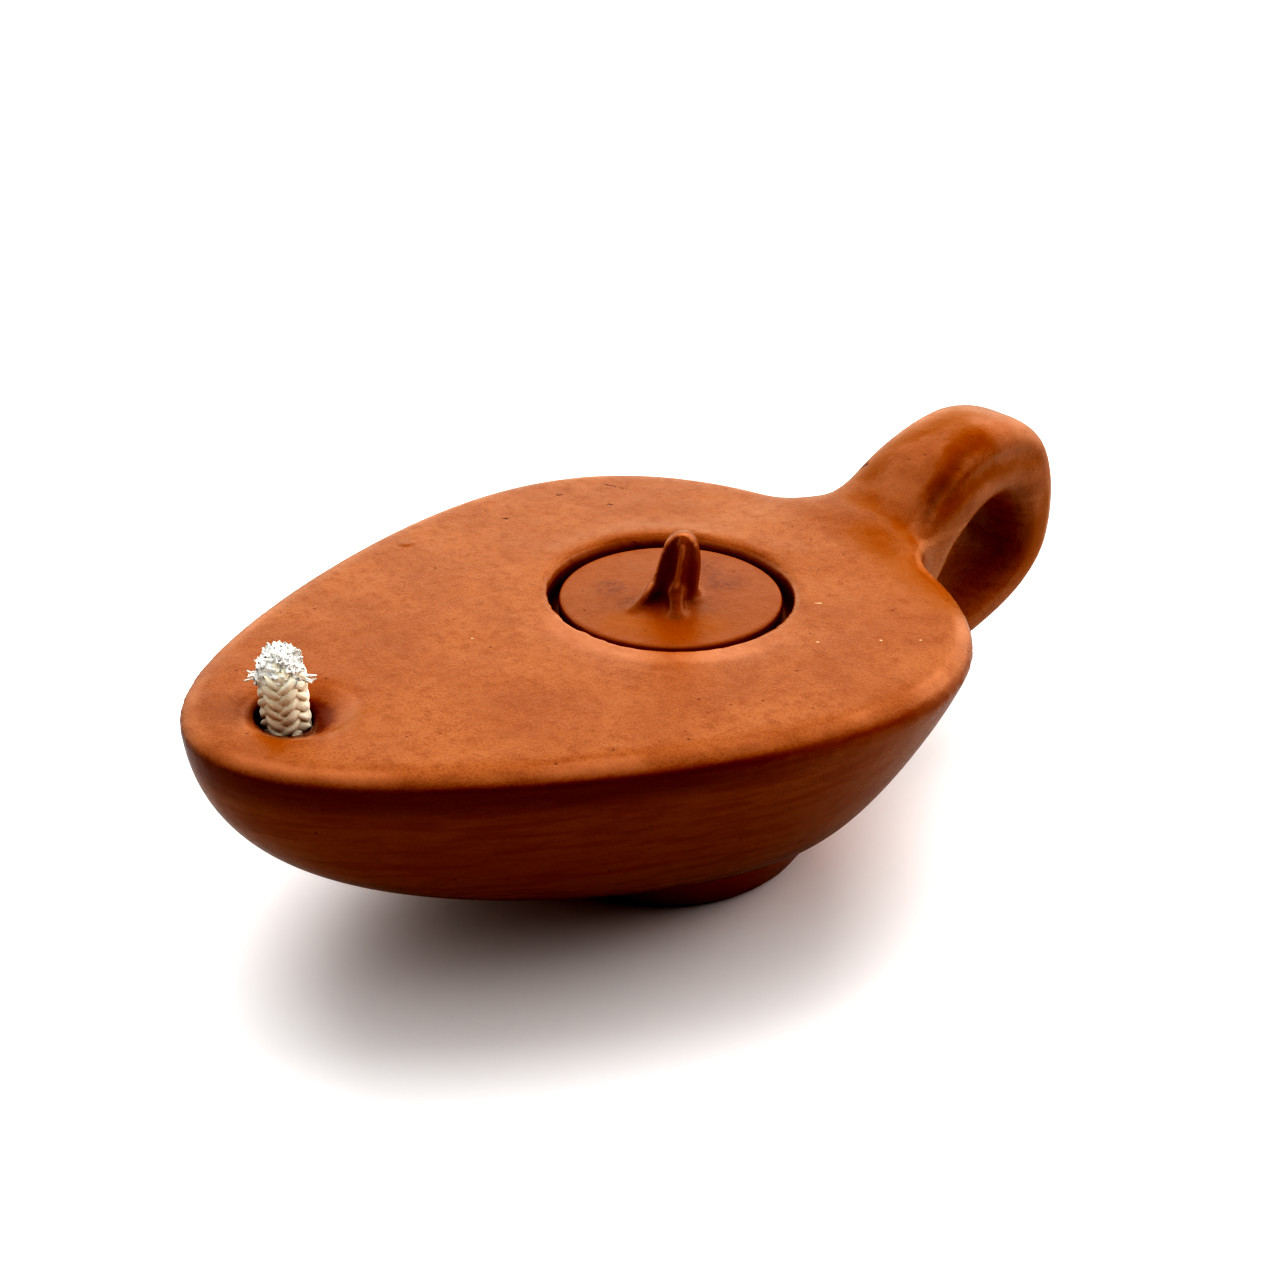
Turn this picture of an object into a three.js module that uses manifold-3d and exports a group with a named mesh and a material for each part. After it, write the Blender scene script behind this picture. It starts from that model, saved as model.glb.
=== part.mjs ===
// A hand-made Roman style oil lamp in burnished terracotta, with its loose lid and its braided wick.
//
// Units are millimetres and +Z is up. The origin is the centre of the foot's underside.
// The wick end of the lamp, called the nose, points to -Y and the handle to +Y.

import * as THREE from 'three';
import { mergeVertices } from 'three/addons/utils/BufferGeometryUtils.js';
import Module from 'manifold-3d';

// Plan of the body, seen from above
const NOSE_Y = -77.4;
const TAIL_Y = 43.3;
// The body was set on its foot by hand, so its centre line lies a little to one side of the origin
const BODY_X = -1.5;
// Half-width as a share of a circle on the body's length, at the nose, two stations between, and the tail
const FULLNESS = [0.55, 0.615, 0.86, 1.06];

// Deck, the almost flat top
const DECK_Z = 43.5;
const DECK_FALL = 0.021;
const SHOULDER_IN = 4.5;
const SHOULDER_DROP = 1.8;

// Wall of the bowl and of the deck, and how much more clay the corner between them has
const WALL = 5;
const CORNER = 0.4;

// Foot, a flared round pad
const FOOT_R = 23.5;
const FOOT_TOP_R = 29.3;
const FOOT_H = 10.7;
const FOOT_EDGE = 0.8;
const FOOT_FLOOR = 6;
// Chamfer where the floor of the reservoir meets its wall
const FLOOR_IN = 2;
const FLOOR_UP = 1;

// How the bowl swells between the foot and the rim: a high drop keeps the wall upright under the rim,
// and a high belly keeps it full above the foot
const BOWL = {
  nose: { drop: 2.15, belly: 2.05 },
  side: { drop: 1.12, belly: 1.68 },
  tail: { drop: 1.16, belly: 0.85 },
};

// Filling hole with the sunk ledge that carries the lid
const HOLE_X = -0.3;
const HOLE_Y = 1;
const HOLE_R = 19.1;
const HOLE_BEVEL = 0.5;
// The hole's lip stands a little askew of the deck, and fades into it
const LIP_SLOPE = 0.024;
const LIP_FADE = 8;
const THROAT_R = 14.5;
const LEDGE_T = 3.5;
const COLLAR_R = 21.5;
const COLLAR_FOOT_R = 24;

// Lid, a loose disc with a pinched knob
const LID_R = 17.4;
const LID_T = 4.4;
const LID_SUNK = 1;
const LID_EDGE = 0.4;
const LID_CROWN = 0.3;
const REST_GAP = 0.3;

// Right and front, as the potter's hands had them, are turned by this from +X and -Y
const HAND_TURN = THREE.MathUtils.degToRad(52);

// Knob: how high each ring is over the lid, how far to the right its middle is, and its half-widths
const KNOB = [
  { up: -1.5, aside: 0.3, wide: 4.3, deep: 3.9 },
  { up: 0, aside: 0.3, wide: 4.2, deep: 3.8 },
  { up: 1.8, aside: 0.5, wide: 3.95, deep: 3.4 },
  { up: 4, aside: 1.1, wide: 3.7, deep: 3.1 },
  { up: 6, aside: 1.5, wide: 3.5, deep: 2.8 },
  { up: 8, aside: 1.6, wide: 3.1, deep: 2.5 },
  { up: 9.8, aside: 1.65, wide: 2.5, deep: 2.1 },
  { up: 10.9, aside: 1.7, wide: 1.4, deep: 1.2 },
];
const KNOB_TOP = { up: 11.2, aside: 1.7 };
const KNOB_FRONT = 1.2;
// What finger and thumb did to it: at an angle from its right round to its front, a spread and a swelling
const KNOB_PINCHES = [
  { at: 93, spread: 13, swell: 0.18 },
  { at: 122, spread: 18, swell: -0.26 },
  { at: 62, spread: 18, swell: -0.08 },
  { at: 154, spread: 14, swell: 0.18 },
];

// Wick hole, in a thumbed dish at the nose
const DISH_X = 0;
const DISH_Y = -62.2;
const DISH_R = 8.2;
const DISH_DEPTH = 4;
// The dish's lip is crisp at the front, where this power is 1, and runs out softly at the back
const DISH_SOFT = 2;
const WICK_HOLE_X = -3.4;
const WICK_HOLE_Y = -63.5;
const WICK_HOLE_R = 4.3;
const WICK_HOLE_DEPTH = 7.5;

// Handle, a strap pulled in a loop: where its middle runs, its width and its thickness
const STRAP_X = -1.75;
const STRAP = [
  { y: 27, z: 31.5, width: 27, thick: 14 },
  { y: 37.5, z: 32.3, width: 27, thick: 16 },
  { y: 46.6, z: 36.1, width: 25, thick: 16.8 },
  { y: 52.5, z: 41, width: 22.2, thick: 15 },
  { y: 58.3, z: 45.4, width: 20.8, thick: 14.2 },
  { y: 64.6, z: 48.3, width: 19.8, thick: 13.8 },
  { y: 70.6, z: 49.1, width: 19.2, thick: 14.2 },
  { y: 75.6, z: 47.2, width: 18.8, thick: 14.2 },
  { y: 78.7, z: 42.6, width: 18.6, thick: 12.6 },
  { y: 80.3, z: 36.4, width: 18.5, thick: 10.6 },
  { y: 79.7, z: 30.8, width: 18.5, thick: 9.6 },
  { y: 76.5, z: 26.4, width: 18.5, thick: 8.6 },
  { y: 71.5, z: 23.2, width: 18.6, thick: 8.1 },
  { y: 65, z: 20.8, width: 19, thick: 7.8 },
  { y: 57.5, z: 18.9, width: 19.6, thick: 8.2 },
  { y: 50, z: 17.8, width: 20.5, thick: 9 },
  { y: 42, z: 17.4, width: 22, thick: 10 },
  { y: 34, z: 17.7, width: 23.5, thick: 10.5 },
  { y: 28.5, z: 18, width: 24, thick: 10.5 },
];
// 2 would be an ellipse in section, and more is squarer
const STRAP_SQUARE = 3;

// Wick, a round cotton braid
const WICK_D = 6.4;
// Where the wick runs, from its free top down through its hole and back along the floor of the bowl
const WICK_ROUTE = [
  [-3.2, -63.3, 52.2],
  [-3.2, -63.3, 49],
  [-3.2, -63.3, 45],
  [-3.2, -63.3, 41],
  [-3.1, -63.1, 37],
  [-2.8, -61.9, 33.4],
  [-2.3, -59.3, 30.3],
  [-1.9, -56.2, 27.8],
  [-1.4, -52.4, 25.8],
  [-0.7, -48.2, 24.1],
  [0.2, -43.7, 22.6],
  [1.2, -39, 21.2],
  [2.2, -34.4, 19.8],
  [3, -29.8, 18.2],
  [3.6, -25.2, 16.3],
  [4, -20.6, 14.3],
  [4, -16, 12.4],
  [3.7, -11.3, 10.9],
  [3.2, -6.5, 10.1],
  [2.6, -1.6, 9.8],
];

// Mesh fineness
const AROUND = 64;
const STRAP_SIDES = 20;
const STRAP_STEPS = 34;
const LID_SIDES = 48;
const KNOB_SIDES = 24;
const WICK_HOLE_SIDES = 24;
const WICK_SIDES = 10;
const WICK_STEPS = 30;
const BOWL_RINGS = 9;
// Rings of the deck, as shares of the way from its shoulder to the filling hole, closer by the dish
const DECK_SHARES = [0.04, 0.09, 0.14, 0.19, 0.24, 0.29, 0.35, 0.43, 0.55, 0.7, 0.85];
const SHOULDER_TURNS = [30, 60, 90];
const BEVEL_TURNS = [0, 45, 90];

const CLAY = new THREE.MeshStandardMaterial({ color: 0xb5623a, roughness: 0.42, metalness: 0 });
const LID_CLAY = new THREE.MeshStandardMaterial({ color: 0xa9552f, roughness: 0.42, metalness: 0 });
const COTTON = new THREE.MeshStandardMaterial({ color: 0xeae2cf, roughness: 0.95, metalness: 0 });

const mix = THREE.MathUtils.lerp;
const wasm = await Module();
wasm.setup();

// Levels that follow from the dimensions above
const LID_TOP = DECK_Z - DECK_FALL * HOLE_Y - LID_SUNK;
const LID_FOOT = LID_TOP - LID_T;
const LEDGE_Z = LID_FOOT - REST_GAP;

// A closed solid through rings of points that run from its underside to its top, or round a hollow
function loft(rings, firstTip, lastTip) {
  const around = rings[0].length;
  const points = rings.flat();
  const first = points.push(firstTip) - 1;
  const last = points.push(lastTip) - 1;
  const faces = [];
  for (let i = 0; i < around; i++) {
    const j = (i + 1) % around;
    faces.push(first, j, i);
    for (let r = 0; r < rings.length - 1; r++) {
      const low = r * around;
      const high = low + around;
      faces.push(low + i, low + j, high + j, low + i, high + j, high + i);
    }
    const top = (rings.length - 1) * around;
    faces.push(top + i, top + j, last);
  }
  const geometry = new THREE.BufferGeometry().setFromPoints(points);
  geometry.setIndex(faces);
  return geometry;
}

// Booleans on closed geometries
function solidOf(geometry) {
  const bare = geometry.clone();
  bare.deleteAttribute('normal');
  bare.deleteAttribute('uv');
  const merged = mergeVertices(bare);
  return new wasm.Manifold(new wasm.Mesh({
    numProp: 3,
    vertProperties: new Float32Array(merged.attributes.position.array),
    triVerts: new Uint32Array(merged.index.array),
  }));
}

function geometryOf(solid) {
  const mesh = solid.getMesh();
  const geometry = new THREE.BufferGeometry();
  geometry.setAttribute('position', new THREE.BufferAttribute(mesh.vertProperties, 3));
  geometry.setIndex(new THREE.BufferAttribute(mesh.triVerts, 1));
  geometry.computeVertexNormals();
  return geometry;
}

// Angles run once round the body from the nose through the +X side
const angles = Array.from({ length: AROUND }, (_, i) => (2 * Math.PI * i) / AROUND);

function circle(x, y, radius, z) {
  return angles.map((a) => new THREE.Vector3(x + radius * Math.sin(a), y - radius * Math.cos(a), z));
}

// Outline of the deck: a point at each angle, with its fullness blended from nose to tail
function rimPoint(a) {
  const t = (1 - Math.cos(a)) / 2;
  const [nose, front, rear, tail] = FULLNESS;
  const s = 1 - t;
  const fullness = nose * s ** 3 + 3 * front * s * s * t + 3 * rear * s * t * t + tail * t ** 3;
  const half = (TAIL_Y - NOSE_Y) / 2;
  return new THREE.Vector2(BODY_X + half * Math.sin(a) * fullness, mix(NOSE_Y, TAIL_Y, t));
}

// The same outline, drawn in by a distance
function insetRim(a, inset) {
  const step = 0.01;
  const along = rimPoint(a + step).sub(rimPoint(a - step)).normalize();
  return rimPoint(a).add(new THREE.Vector2(-along.y, along.x).multiplyScalar(inset));
}

// How far a step over the deck goes to that front
function frontOf(dx, dy) {
  return dx * Math.sin(HAND_TURN) - dy * Math.cos(HAND_TURN);
}

function dishDepth(x, y) {
  const dx = (x - DISH_X) / DISH_R;
  const dy = (y - DISH_Y) / DISH_R;
  const hollow = Math.max(1 - dx * dx - dy * dy, 0);
  const power = mix(DISH_SOFT, 1, (1 + frontOf(dx, dy)) / 2);
  return DISH_DEPTH * hollow ** power;
}

// The lip of the filling hole drops to the front and rises to the back
function lipRise(x, y) {
  const dx = x - HOLE_X;
  const dy = y - HOLE_Y;
  const away = (Math.hypot(dx, dy) - HOLE_R) / LIP_FADE;
  return -LIP_SLOPE * frontOf(dx, dy) * (1 - THREE.MathUtils.smoothstep(away, 0, 1));
}

function deckLevel(x, y) {
  return DECK_Z - DECK_FALL * y - dishDepth(x, y) + lipRise(x, y);
}

// A point on the outside of the bowl: fall is 0 under the shoulder and 1 at the top of the foot
function bowlPoint(a, fall) {
  const toNose = Math.max(Math.cos(a), 0) ** 2;
  const toTail = Math.max(-Math.cos(a), 0) ** 2;
  const toSide = 1 - toNose - toTail;
  const drop = toNose * BOWL.nose.drop + toTail * BOWL.tail.drop + toSide * BOWL.side.drop;
  const belly = toNose * BOWL.nose.belly + toTail * BOWL.tail.belly + toSide * BOWL.side.belly;
  const out = Math.max(1 - fall ** drop, 0) ** (1 / belly);
  const rim = rimPoint(a);
  const foot = new THREE.Vector2(FOOT_TOP_R * Math.sin(a), -FOOT_TOP_R * Math.cos(a));
  const plan = foot.lerp(rim, out);
  const top = DECK_Z - DECK_FALL * rim.y - SHOULDER_DROP;
  return new THREE.Vector3(plan.x, plan.y, mix(top, FOOT_H, fall));
}

// The bowl's surface moved inwards by a depth, square to itself
function bowlSkin(a, fall, depth) {
  const turn = 0.01;
  const step = 0.004;
  const p = bowlPoint(a, fall);
  const round = bowlPoint(a + turn, fall).sub(bowlPoint(a - turn, fall));
  const down = bowlPoint(a, Math.min(fall + step, 1)).sub(bowlPoint(a, Math.max(fall - step, 0)));
  const inwards = round.cross(down).normalize();
  p.addScaledVector(inwards, depth);
  p.z = Math.min(p.z, deckLevel(p.x, p.y) - depth - CORNER);
  return p;
}

// Rings of the inside of the bowl, from its floor to its top, at a depth below the outside
function innerBowl(depth, falls) {
  return falls.map((fall) => angles.map((a) => bowlSkin(a, fall, depth)));
}

// Rings of a layer under the deck, between a ring of the bowl and a circle round the filling hole
function underDeck(outer, radius, depth, shares) {
  return shares.map((share) => angles.map((a, i) => {
    const hole = new THREE.Vector2(HOLE_X + radius * Math.sin(a), HOLE_Y - radius * Math.cos(a));
    const x = mix(outer[i].x, hole.x, share);
    const y = mix(outer[i].y, hole.y, share);
    return new THREE.Vector3(x, y, deckLevel(x, y) - depth);
  }));
}

// Body without its handle: the outside from the foot to the filling hole, then the inside down to the floor
function makeBowl() {
  const outside = [];
  outside.push(circle(0, 0, FOOT_R - FOOT_EDGE, 0));
  outside.push(circle(0, 0, FOOT_R, FOOT_EDGE));
  for (let i = BOWL_RINGS; i >= 0; i--) {
    const fall = Math.sin((Math.PI / 2) * (i / BOWL_RINGS));
    outside.push(angles.map((a) => bowlPoint(a, fall)));
  }
  for (const turn of SHOULDER_TURNS) {
    const up = Math.sin(THREE.MathUtils.degToRad(turn));
    const inset = SHOULDER_IN * (1 - Math.cos(THREE.MathUtils.degToRad(turn)));
    outside.push(angles.map((a) => {
      const p = insetRim(a, inset);
      return new THREE.Vector3(p.x, p.y, DECK_Z - DECK_FALL * p.y - SHOULDER_DROP * (1 - up));
    }));
  }
  const shoulder = outside.at(-1);
  outside.push(...underDeck(shoulder, HOLE_R + HOLE_BEVEL, 0, DECK_SHARES));
  for (const turn of BEVEL_TURNS) {
    const out = HOLE_BEVEL * (1 - Math.sin(THREE.MathUtils.degToRad(turn)));
    const down = HOLE_BEVEL * (1 - Math.cos(THREE.MathUtils.degToRad(turn)));
    const ring = circle(HOLE_X, HOLE_Y, HOLE_R + out, 0);
    ring.forEach((p) => p.setZ(deckLevel(p.x, p.y) - down));
    outside.push(ring);
  }

  const seat = [
    circle(HOLE_X, HOLE_Y, HOLE_R, LEDGE_Z),
    circle(HOLE_X, HOLE_Y, THROAT_R, LEDGE_Z),
    circle(HOLE_X, HOLE_Y, THROAT_R, LEDGE_Z - LEDGE_T),
    circle(HOLE_X, HOLE_Y, COLLAR_R, LEDGE_Z - LEDGE_T),
  ];

  const inner = innerBowl(WALL, [0.14, 0.3, 0.47, 0.64, 0.8, 0.92]);
  const ceiling = underDeck(inner[0], COLLAR_FOOT_R, WALL, [0.08, 0.2, 0.33, 0.6, 1]).reverse();
  const floor = [
    circle(0, 0, FOOT_TOP_R - WALL, FOOT_H + FLOOR_UP),
    circle(0, 0, FOOT_R - WALL, FOOT_FLOOR + FLOOR_UP),
    circle(0, 0, FOOT_R - WALL - FLOOR_IN, FOOT_FLOOR),
  ];
  const rings = [...outside, ...seat, ...ceiling, ...inner, ...floor];
  return loft(rings, new THREE.Vector3(0, 0, 0), new THREE.Vector3(0, 0, FOOT_FLOOR));
}

// The bowl's shape at half its wall, used to trim what is joined to it from outside
function makeBowlCore() {
  const depth = WALL / 2;
  const walls = innerBowl(depth, [0.1, 0.3, 0.5, 0.7, 0.9]).reverse();
  const top = underDeck(walls.at(-1), COLLAR_R, depth, [0.3, 0.7, 1]);
  const tip = new THREE.Vector3(HOLE_X, HOLE_Y, LEDGE_Z);
  return loft([...walls, ...top], new THREE.Vector3(0, 0, FOOT_H), tip);
}

function makeHandle() {
  const middle = new THREE.CatmullRomCurve3(STRAP.map((s) => new THREE.Vector3(STRAP_X, s.y, s.z)));
  const size = new THREE.CatmullRomCurve3(STRAP.map((s) => new THREE.Vector3(s.width, s.thick, 0)));
  const rings = [];
  for (let i = 0; i <= STRAP_STEPS; i++) {
    const t = i / STRAP_STEPS;
    const centre = middle.getPoint(t);
    const along = middle.getTangent(t);
    const { x: width, y: thick } = size.getPoint(t);
    const inwards = new THREE.Vector3(0, along.z, -along.y);
    rings.push(Array.from({ length: STRAP_SIDES }, (_, k) => {
      const a = (2 * Math.PI * k) / STRAP_SIDES;
      const c = Math.sign(Math.cos(a)) * Math.abs(Math.cos(a)) ** (2 / STRAP_SQUARE);
      const s = Math.sign(Math.sin(a)) * Math.abs(Math.sin(a)) ** (2 / STRAP_SQUARE);
      const p = centre.clone().addScaledVector(inwards, (s * thick) / 2);
      p.x += (c * width) / 2;
      return p;
    }));
  }
  return loft(rings, middle.getPoint(0), middle.getPoint(1));
}

function makeWickHole() {
  const geometry = new THREE.CylinderGeometry(WICK_HOLE_R, WICK_HOLE_R, 2 * WICK_HOLE_DEPTH, WICK_HOLE_SIDES);
  geometry.rotateX(Math.PI / 2);
  geometry.translate(WICK_HOLE_X, WICK_HOLE_Y, deckLevel(WICK_HOLE_X, WICK_HOLE_Y) - WALL / 2);
  return geometry;
}

function makeLampBody() {
  const strap = solidOf(makeHandle()).subtract(solidOf(makeBowlCore()));
  const whole = solidOf(makeBowl()).add(strap).subtract(solidOf(makeWickHole()));
  const mesh = new THREE.Mesh(geometryOf(whole), CLAY);
  mesh.name = 'lamp_body';
  return mesh;
}

// A place on the lid: how far it is to the knob's right and front, and how high over the lid's foot
function knobPoint(right, front, up) {
  const x = right * Math.cos(HAND_TURN) + front * Math.sin(HAND_TURN);
  const y = right * Math.sin(HAND_TURN) - front * Math.cos(HAND_TURN);
  return new THREE.Vector3(x, y, LID_T + up);
}

// How much wider the knob is at an angle from its right round to its front
function pinched(a) {
  const swells = KNOB_PINCHES.map(({ at, spread, swell }) => {
    const off = THREE.MathUtils.euclideanModulo(THREE.MathUtils.radToDeg(a) - at + 180, 360) - 180;
    return swell * Math.exp(-((off / spread) ** 2));
  });
  return swells.reduce((sum, swell) => sum + swell, 1);
}

function makeKnob() {
  const rings = KNOB.map(({ up, aside, wide, deep }) => Array.from({ length: KNOB_SIDES }, (_, k) => {
    const a = (-2 * Math.PI * k) / KNOB_SIDES;
    const size = pinched(a);
    return knobPoint(aside + size * wide * Math.cos(a), KNOB_FRONT + size * deep * Math.sin(a), up);
  }));
  const foot = knobPoint(KNOB[0].aside, KNOB_FRONT, KNOB[0].up);
  return loft(rings, foot, knobPoint(KNOB_TOP.aside, KNOB_FRONT, KNOB_TOP.up));
}

function makeLid() {
  const rounded = LID_EDGE * (1 - Math.SQRT1_2);
  const profile = [
    new THREE.Vector2(0, 0),
    new THREE.Vector2(LID_R - LID_EDGE, 0),
    new THREE.Vector2(LID_R, LID_EDGE),
    new THREE.Vector2(LID_R, LID_T - LID_EDGE),
    new THREE.Vector2(LID_R - rounded, LID_T - rounded),
    new THREE.Vector2(LID_R - LID_EDGE, LID_T),
    new THREE.Vector2(LID_R / 2, LID_T + LID_CROWN * 0.75),
    new THREE.Vector2(0, LID_T + LID_CROWN),
  ];
  const disc = new THREE.LatheGeometry(profile, LID_SIDES);
  disc.rotateX(Math.PI / 2);
  const mesh = new THREE.Mesh(geometryOf(solidOf(disc).add(solidOf(makeKnob()))), LID_CLAY);
  mesh.name = 'lid';
  mesh.position.set(HOLE_X, HOLE_Y, LID_FOOT);
  return mesh;
}

function makeWick() {
  const route = new THREE.CatmullRomCurve3(WICK_ROUTE.map((p) => new THREE.Vector3(...p)));
  const section = new THREE.Shape(Array.from({ length: WICK_SIDES }, (_, k) => {
    const a = (2 * Math.PI * k) / WICK_SIDES;
    return new THREE.Vector2((WICK_D / 2) * Math.cos(a), (WICK_D / 2) * Math.sin(a));
  }));
  const tube = new THREE.ExtrudeGeometry(section, { steps: WICK_STEPS, extrudePath: route });
  const mesh = new THREE.Mesh(tube, COTTON);
  mesh.name = 'wick';
  return mesh;
}

const group = new THREE.Group();
group.add(makeLampBody());
group.add(makeLid());
group.add(makeWick());

export default group;
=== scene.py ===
# The looks of a hand-made Roman style oil lamp: burnished clay body, loose lid, braided cotton wick.
#
# Lengths are millimetres in this script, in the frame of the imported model, and MM makes them metres.

import math
import random

import bpy
import numpy as np
import openvdb
from mathutils import Matrix, Vector


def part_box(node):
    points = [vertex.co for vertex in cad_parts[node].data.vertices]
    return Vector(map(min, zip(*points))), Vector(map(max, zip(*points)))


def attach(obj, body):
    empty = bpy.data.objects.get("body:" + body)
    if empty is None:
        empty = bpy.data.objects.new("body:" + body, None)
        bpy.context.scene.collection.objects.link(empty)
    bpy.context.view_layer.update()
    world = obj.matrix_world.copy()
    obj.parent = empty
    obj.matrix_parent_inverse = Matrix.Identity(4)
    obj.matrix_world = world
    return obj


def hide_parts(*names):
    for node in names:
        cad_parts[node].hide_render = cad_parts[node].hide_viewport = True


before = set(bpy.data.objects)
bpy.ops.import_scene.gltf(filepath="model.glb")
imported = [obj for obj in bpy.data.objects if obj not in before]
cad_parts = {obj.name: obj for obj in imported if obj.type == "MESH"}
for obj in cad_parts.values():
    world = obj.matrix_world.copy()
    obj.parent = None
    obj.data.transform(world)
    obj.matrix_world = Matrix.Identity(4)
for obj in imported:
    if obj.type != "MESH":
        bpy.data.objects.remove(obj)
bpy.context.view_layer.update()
MM = 0.001

# Camera, from a perspective fit to the photograph
PHOTO_SIDE_PX = 1280
FOCAL_PX = 1635.4
CAMERA_DISTANCE = 256.54
CAMERA_ELEVATION = 28.45
CAMERA_AZIMUTH = 52.06
CAMERA_ROLL = 0.325
AIM_ASIDE = -4.1
AIM_Z = 34.79
SENSOR_MM = 36
NEAREST_SEEN = 10

# Body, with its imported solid's sizes, apart from small hand-made turns of its shoulder, its far lip,
# its dish and the wick hole's mouth
NOSE_Y = -77.4
TAIL_Y = 43.3
BODY_X = -1.5
FULLNESS = (0.55, 0.615, 0.86, 1.06)
DECK_Z = 43.5
DECK_FALL = 0.021
SHOULDER_IN = 4.5
# How far the shoulder's round goes down, at angles round the body from its nose through +X
SHOULDER_DROPS = (
    (0, 1.6), (35, 1.3), (60, 2.6), (90, 3.2), (130, 3.0), (160, 1.9), (180, 1.8), (320, 1.8), (360, 1.6),
)
# They are averaged over these turns, so that they change softly
SHOULDER_TURNS = (-12, -4, 4, 12)
WALL = 5.0
FOOT_R = 23.5
FOOT_TOP_R = 29.3
FOOT_H = 10.7
FOOT_EDGE = 0.8
FOOT_FLOOR = 6.0
# How the bowl drops and bellies at the nose, the sides and the tail
BOWL_DROP = (2.15, 1.12, 1.16)
BOWL_BELLY = (2.05, 1.68, 0.85)
HOLE_X = -0.3
HOLE_Y = 1.0
HOLE_R = 19.1
HOLE_BEVEL = 0.5
# The far lip is worn softer by this much, outwards and down
HOLE_WORN = (2.4, 0.8)
# The hole's lip stands a little askew of the deck, and fades into it
LIP_SLOPE = 0.024
LIP_FADE = 8.0
THROAT_R = 14.5
LEDGE_T = 3.5
COLLAR_R = 21.5
COLLAR_FOOT_R = 24.0
DISH_X = 0.0
DISH_Y = -62.2
DISH_R = 8.2
# Its slopes would meet this deep at the middle of the wick hole
DISH_DEPTH = 5.2
# The dish's lip is crisp at the front, where this power is 1, and runs out softly at the back
DISH_SOFT = 1.5
WICK_HOLE_X = -3.4
WICK_HOLE_Y = -63.5
WICK_HOLE_R = 4.3
WICK_HOLE_ROUND = 0.7
# Its mouth is narrower than its bore by this, from between these heights upwards
WICK_MOUTH = 0.5
WICK_MOUTH_Z = (38, 39.5)

# Right and front, as the potter's hands had them, are turned by this from +X and -Y
HAND_TURN = math.radians(52)

# Handle. STRAP_SQUARE makes its section an oval at 2 and squarer above that
STRAP_X = -1.75
STRAP_SQUARE = 3.0
# How softly it runs into the bowl, and the rounding of its trimmed ends, inside the wall
STRAP_ROUND = 9.0
STRAP_TRIM = 0.1
# Where its middle runs (y, z), its width and its thickness
STRAP = (
    (27, 31.5, 27, 14), (37.5, 32.3, 27, 16), (46.6, 36.1, 25, 16.8), (52.5, 41, 22.2, 15),
    (58.3, 45.4, 20.8, 14.2), (64.6, 48.3, 19.8, 13.8), (70.6, 49.1, 19.2, 14.2),
    (75.6, 47.2, 18.8, 14.2), (78.7, 42.6, 18.6, 12.6), (80.3, 36.4, 18.5, 10.6),
    (79.7, 30.8, 18.5, 9.6), (76.5, 26.4, 18.5, 8.6), (71.5, 23.2, 18.6, 8.1), (65, 20.8, 19, 7.8),
    (57.5, 18.9, 19.6, 8.2), (50, 17.8, 20.5, 9), (42, 17.4, 22, 10), (34, 17.7, 23.5, 10.5),
    (28.5, 18, 24, 10.5),
)

# Creases that the handle's pulling left: shares along it, angles round it, depths, and their widths
# towards the handle's middle and towards its edge
STRAP_CREASES = (
    ((0.12, 0.145, 0.17, 0.195, 0.22, 0.25, 0.30), (-29, -31, -32, -34, -38, -45, -54),
     (0, 1.2, 2.4, 2.8, 1.6, 0.9, 0), (1.9, 0.9)),
    ((0.14, 0.21, 0.27, 0.33, 0.39, 0.45), (-20, -17, -11, -9, -11, -14),
     (0, 0.4, 0.65, 0.65, 0.5, 0), (1.2, 1.6)),
)

# Lid and its pinched knob
LID_R = 17.4
LID_T = 4.4
LID_SUNK = 1.0
LID_EDGE = 0.6
LID_CROWN = 0.3
# The lid's clearance over its ledge, as it is packed
LID_CLEARANCE = 0.3
# Knob: how high each ring is over the lid, how far aside its middle is, and its half-widths
KNOB = (
    (-1.5, 0.3, 4.2, 3.8), (0, 0.3, 4.1, 3.7), (1.8, 0.5, 3.75, 3.3), (4, 1.0, 3.45, 3.0),
    (6, 1.35, 3.2, 2.7), (8, 1.5, 2.85, 2.4), (9.8, 1.6, 2.3, 2.0), (10.9, 1.7, 1.3, 1.15),
)
KNOB_TIP = (1.7, 1.2, 11.2)
KNOB_FRONT = 1.2
# How softly the knob runs into the lid, and its toes into the knob
KNOB_ROUND = 1.6
TOE_ROUND = 1.2
# What the pinching did: at an angle round the knob, from its right to its front, with a spread and a swelling
KNOB_PINCHES = ((93, 13, 0.18), (122, 18, -0.26), (62, 18, -0.08), (154, 14, 0.18))
# Clay drawn down on to the lid by the ridge and by the fin
KNOB_TOES = (
    ((0.7, 4.4, 2.2), (0.8, 7.5, 0.1), 1.3, 0.9),
    ((-3.0, 3.1, 2.2), (-5.7, 5.8, -0.2), 0.8, 0.5),
)
LID_TOP = DECK_Z - DECK_FALL * HOLE_Y - LID_SUNK
LID_FOOT = LID_TOP - LID_T
LEDGE_Z = LID_FOOT - LID_CLEARANCE

# How finely the clay is shaped: the spacing of the points it is measured at, the room round its box,
# and how many times its surface is evened out
BODY_PITCH = 0.82
BODY_ROOM = 3
BODY_ROUNDS = 6
LID_PITCH = 0.3
LID_ROOM = 2
LID_ROUNDS = 5
# Each time, points go this share of the way to their neighbours, and then this much back
RELAX_SHARES = (0.5, -0.52)
# Lips and the handle are evened out by only these shares, and a lip's hold fades between these distances
LIP_EASE = 0.12
LIP_REACH = (0.8, 2.5)
HANDLE_EASE = 0.35

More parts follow.
